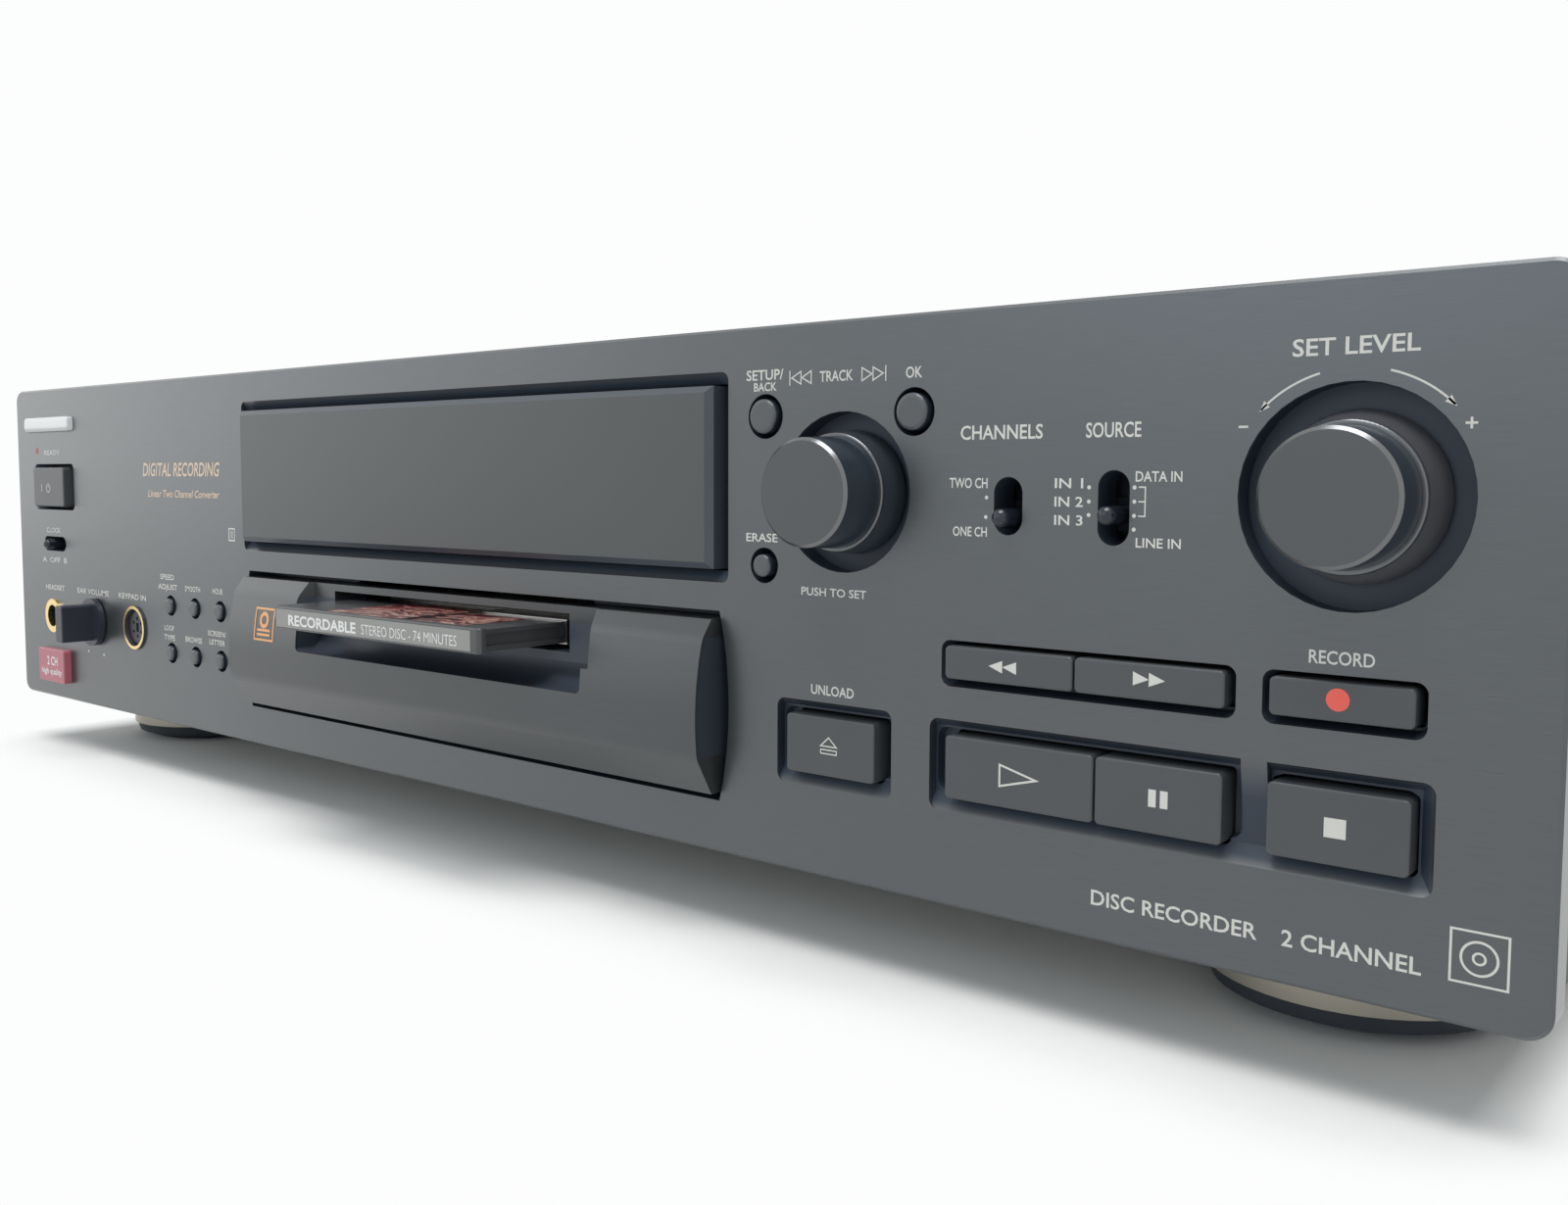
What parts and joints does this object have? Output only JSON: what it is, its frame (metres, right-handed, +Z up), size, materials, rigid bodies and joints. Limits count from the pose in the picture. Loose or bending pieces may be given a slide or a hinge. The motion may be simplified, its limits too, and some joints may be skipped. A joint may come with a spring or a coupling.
{
  "type": "minidisc deck",
  "caption": "Full-width hi-fi minidisc recorder with a half-ejected cartridge, smoked display window, push keys, turning knobs, slide switches and round turned feet.",
  "frame": {"origin": "bottom centre of the overall box, on the surface the feet stand on", "axes": "+X to the right seen from the front, +Y from the front towards the rear jacks, +Z up"},
  "size_m": [0.43, 0.2942, 0.108],
  "materials": {
    "fascia": "satin, fine metallic grain",
    "smoked_window": "polished, smoked",
    "key_plastic": "satin",
    "black_plastic": "satin",
    "red_lens": "polished",
    "gold": "polished gold plate",
    "knob_metal": "anodised, bright bevels",
    "white_plastic": "moulded",
    "badge_red": "satin",
    "foot_metal": "satin champagne",
    "foot_rubber": "matte",
    "screw_steel": "satin",
    "cartridge_plastic": "moulded",
    "shutter_steel": "brushed",
    "disc_plastic": "mirror bright recording layer",
    "case_paint": "fine texture",
    "zinc_steel": "zinc plated",
    "circuit_board": "solder mask",
    "tube_glass": "dark glass",
    "core_steel": "varnished laminations",
    "motor_steel": "plated",
    "cast_alloy": "cast",
    "jack_plastic": "moulded"
  },
  "bodies": {
    "deck": {"front_panel": "fascia", "display_window": "smoked_window", "slot_block": "fascia", "standby_lens": "red_lens", "phones_jack": "gold", "keyboard_socket": "gold", "badge": "badge_red", "feet": "foot_metal", "foot_pads": "foot_rubber", "case_screws": "screw_steel", "top_cover": "case_paint", "base_chassis": "zinc_steel", "rear_panel": "case_paint", "control_board_left": "circuit_board", "control_board_right": "circuit_board", "display_board": "circuit_board", "display_tube": "tube_glass", "main_board": "circuit_board", "power_transformer": "core_steel", "mechanism_chassis": "zinc_steel", "cartridge_holder": "zinc_steel", "drive_motors": "motor_steel", "guide_rods": "screw_steel", "line_jacks": "jack_plastic", "digital_jacks": "jack_plastic", "mains_inlet": "jack_plastic"},
    "power_button": {"power_button": "key_plastic"},
    "timer_lever": {"timer_lever": "black_plastic"},
    "phones_level_knob": {"phones_level_knob": "key_plastic"},
    "select_dial": {"select_dial": "knob_metal"},
    "select_plunger": {"select_plunger": "white_plastic"},
    "record_mode_lever": {"record_mode_lever": "black_plastic"},
    "input_lever": {"input_lever": "black_plastic"},
    "record_level_knob": {"record_level_knob": "knob_metal"},
    "cartridge": {"cartridge_shell": "cartridge_plastic"},
    "cartridge_shutter": {"cartridge_shutter": "shutter_steel"},
    "disc": {"disc": "disc_plastic"},
    "loading_gear": {"loading_gear": "white_plastic"},
    "loading_pinion": {"loading_pinion": "white_plastic"},
    "loading_slider": {"loading_slider": "white_plastic"},
    "turntable": {"turntable": "black_plastic"},
    "pickup": {"pickup": "cast_alloy"},
    "recording_head": {"recording_head": "screw_steel"},
    "sled_screw": {"sled_screw": "screw_steel"},
    "small_key_1": {"small_key_1": "key_plastic"},
    "small_key_2": {"small_key_2": "key_plastic"},
    "small_key_3": {"small_key_3": "key_plastic"},
    "small_key_4": {"small_key_4": "key_plastic"},
    "small_key_5": {"small_key_5": "key_plastic"},
    "small_key_6": {"small_key_6": "key_plastic"},
    "menu_button": {"menu_button": "key_plastic"},
    "yes_button": {"yes_button": "key_plastic"},
    "clear_button": {"clear_button": "key_plastic"},
    "eject_button": {"eject_button": "key_plastic"},
    "rewind_button": {"rewind_button": "key_plastic"},
    "forward_button": {"forward_button": "key_plastic"},
    "play_button": {"play_button": "key_plastic"},
    "pause_button": {"pause_button": "key_plastic"},
    "stop_button": {"stop_button": "key_plastic"},
    "record_button": {"record_button": "key_plastic"}
  },
  "joints": [
    {"name": "small_key_1_press", "type": "slide", "parent": "deck", "child": "small_key_1", "axis": [0, 1, 0], "range_m": [0, 0.0008], "stiffness_N_per_m": 1500},
    {"name": "small_key_2_press", "type": "slide", "parent": "deck", "child": "small_key_2", "axis": [0, 1, 0], "range_m": [0, 0.0008], "stiffness_N_per_m": 1500},
    {"name": "small_key_3_press", "type": "slide", "parent": "deck", "child": "small_key_3", "axis": [0, 1, 0], "range_m": [0, 0.0008], "stiffness_N_per_m": 1500},
    {"name": "small_key_4_press", "type": "slide", "parent": "deck", "child": "small_key_4", "axis": [0, 1, 0], "range_m": [0, 0.0008], "stiffness_N_per_m": 1500},
    {"name": "small_key_5_press", "type": "slide", "parent": "deck", "child": "small_key_5", "axis": [0, 1, 0], "range_m": [0, 0.0008], "stiffness_N_per_m": 1500},
    {"name": "small_key_6_press", "type": "slide", "parent": "deck", "child": "small_key_6", "axis": [0, 1, 0], "range_m": [0, 0.0008], "stiffness_N_per_m": 1500},
    {"name": "menu_button_press", "type": "slide", "parent": "deck", "child": "menu_button", "axis": [0, 1, 0], "range_m": [0, 0.0008], "stiffness_N_per_m": 1500},
    {"name": "yes_button_press", "type": "slide", "parent": "deck", "child": "yes_button", "axis": [0, 1, 0], "range_m": [0, 0.0008], "stiffness_N_per_m": 1500},
    {"name": "clear_button_press", "type": "slide", "parent": "deck", "child": "clear_button", "axis": [0, 1, 0], "range_m": [0, 0.0008], "stiffness_N_per_m": 1500},
    {"name": "eject_button_press", "type": "slide", "parent": "deck", "child": "eject_button", "axis": [0, 1, 0], "range_m": [0, 0.0008], "stiffness_N_per_m": 1500},
    {"name": "rewind_button_press", "type": "slide", "parent": "deck", "child": "rewind_button", "axis": [0, 1, 0], "range_m": [0, 0.0008], "stiffness_N_per_m": 1500},
    {"name": "forward_button_press", "type": "slide", "parent": "deck", "child": "forward_button", "axis": [0, 1, 0], "range_m": [0, 0.0008], "stiffness_N_per_m": 1500},
    {"name": "play_button_press", "type": "slide", "parent": "deck", "child": "play_button", "axis": [0, 1, 0], "range_m": [0, 0.0008], "stiffness_N_per_m": 1500},
    {"name": "pause_button_press", "type": "slide", "parent": "deck", "child": "pause_button", "axis": [0, 1, 0], "range_m": [0, 0.0008], "stiffness_N_per_m": 1500},
    {"name": "stop_button_press", "type": "slide", "parent": "deck", "child": "stop_button", "axis": [0, 1, 0], "range_m": [0, 0.0008], "stiffness_N_per_m": 1500},
    {"name": "record_button_press", "type": "slide", "parent": "deck", "child": "record_button", "axis": [0, 1, 0], "range_m": [0, 0.0008], "stiffness_N_per_m": 1500},
    {"name": "power_button_press", "type": "slide", "parent": "deck", "child": "power_button", "axis": [0, 1, 0], "range_m": [0, 0.0008], "stiffness_N_per_m": 1500},
    {"name": "select_dial_press", "type": "slide", "parent": "deck", "child": "select_plunger", "axis": [0, 1, 0], "range_m": [0, 0.0006], "stiffness_N_per_m": 2500},
    {"name": "select_dial_turn", "type": "hinge", "parent": "select_plunger", "child": "select_dial", "pos_m": [0.1085, -0.1279, 0.0797], "axis": [0, 1, 0], "continuous": true},
    {"name": "record_level_turn", "type": "hinge", "parent": "deck", "child": "record_level_knob", "pos_m": [0.1896, -0.1279, 0.0798], "axis": [0, 1, 0], "continuous": true},
    {"name": "phones_level_turn", "type": "hinge", "parent": "deck", "child": "phones_level_knob", "pos_m": [-0.165, -0.1279, 0.0394], "axis": [0, 1, 0], "range_deg": [-150, 150]},
    {"name": "timer_slide", "type": "slide", "parent": "deck", "child": "timer_lever", "axis": [1, 0, 0], "range_m": [-0.0036, 0.0036]},
    {"name": "record_mode_slide", "type": "slide", "parent": "deck", "child": "record_mode_lever", "axis": [0, 0, 1], "range_m": [0, 0.003]},
    {"name": "input_slide", "type": "slide", "parent": "deck", "child": "input_lever", "axis": [0, 0, 1], "range_m": [-0.002, 0.004]},
    {"name": "cartridge_load", "type": "slide", "parent": "deck", "child": "cartridge", "axis": [0, 1, 0], "range_m": [0, 0.033]},
    {"name": "shutter_slide", "type": "slide", "parent": "cartridge", "child": "cartridge_shutter", "axis": [0, -1, 0], "range_m": [0, 0.02]},
    {"name": "disc_spin", "type": "hinge", "parent": "cartridge", "child": "disc", "pos_m": [0.00125, -0.1131, 0.051], "axis": [0, 0, 1], "continuous": true},
    {"name": "turntable_spin", "type": "hinge", "parent": "deck", "child": "turntable", "pos_m": [0.00125, -0.0801, 0.0444], "axis": [0, 0, 1], "continuous": true},
    {"name": "sled_slide", "type": "slide", "parent": "deck", "child": "pickup", "axis": [1, 0, 0], "range_m": [0, 0.016]},
    {"name": "sled_screw_turn", "type": "hinge", "parent": "deck", "child": "sled_screw", "pos_m": [0.00725, -0.0561, 0.0389], "axis": [1, 0, 0], "range_deg": [0, 2881]},
    {"name": "head_lift", "type": "hinge", "parent": "pickup", "child": "recording_head", "pos_m": [0.04325, -0.0801, 0.05815], "axis": [0, 1, 0], "range_deg": [0, 6]},
    {"name": "loading_slider_slide", "type": "slide", "parent": "deck", "child": "loading_slider", "axis": [0, 1, 0], "range_m": [0, 0.033]},
    {"name": "loading_gear_turn", "type": "hinge", "parent": "deck", "child": "loading_gear", "pos_m": [-0.051, -0.0601, 0.0344], "axis": [0, 0, 1], "range_deg": [0, 237]},
    {"name": "loading_pinion_turn", "type": "hinge", "parent": "deck", "child": "loading_pinion", "pos_m": [-0.051, -0.0481, 0.0344], "axis": [0, 0, 1], "range_deg": [-474, 0]}
  ],
  "couplings": [
    {"joint": "loading_slider_slide", "follows": "cartridge_load", "ratio": 1},
    {"joint": "loading_gear_turn", "follows": "cartridge_load", "rad_per_m": 125},
    {"joint": "loading_pinion_turn", "follows": "cartridge_load", "rad_per_m": -250},
    {"joint": "sled_screw_turn", "follows": "sled_slide", "rad_per_m": 3141.6}
  ]
}
